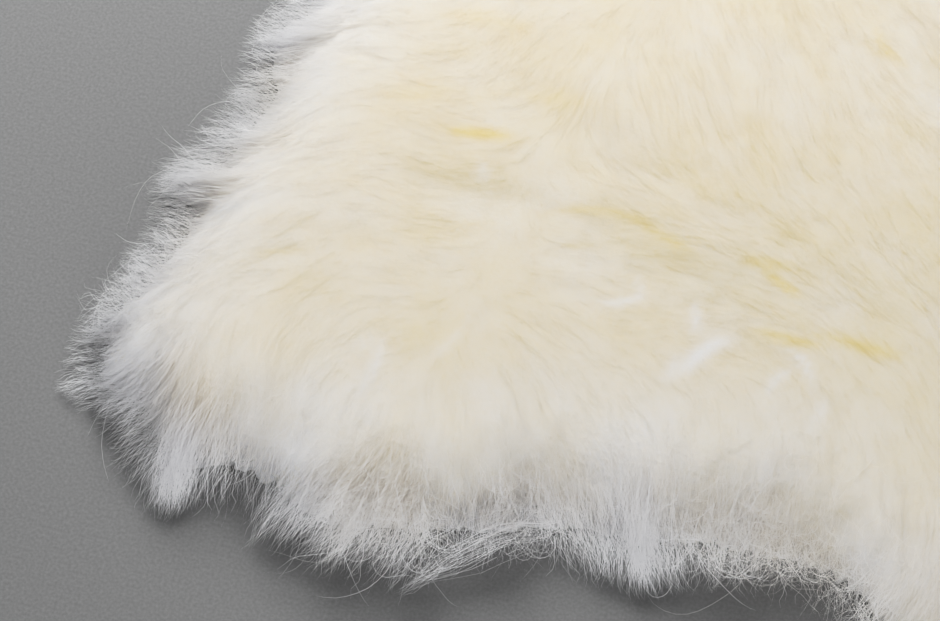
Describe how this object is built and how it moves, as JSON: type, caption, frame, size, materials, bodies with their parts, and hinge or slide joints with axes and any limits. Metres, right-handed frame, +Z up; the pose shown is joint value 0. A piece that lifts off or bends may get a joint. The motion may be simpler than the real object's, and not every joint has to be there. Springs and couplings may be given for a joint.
{
  "type": "sheepskin rug",
  "caption": "Sheepskin rug: one flat pelt with long cream-white wool, leg lobes at the corners, a rounded neck end and a flat suede underside.",
  "frame": {"origin": "on the floor, under the middle of the rug's length and width", "axes": "+Y from the tail end to the neck end, +X to the right seen from above with the tail end nearest, +Z up out of the wool"},
  "size_m": [0.6, 0.95, 0.0561],
  "materials": {
    "wool": "long soft sheep's wool, combed outwards, cream inside and cooler white at the tips",
    "hide": "tanned suede skin side, matt"
  },
  "bodies": {
    "root": {"sheepskin": "wool"}
  },
  "joints": []
}
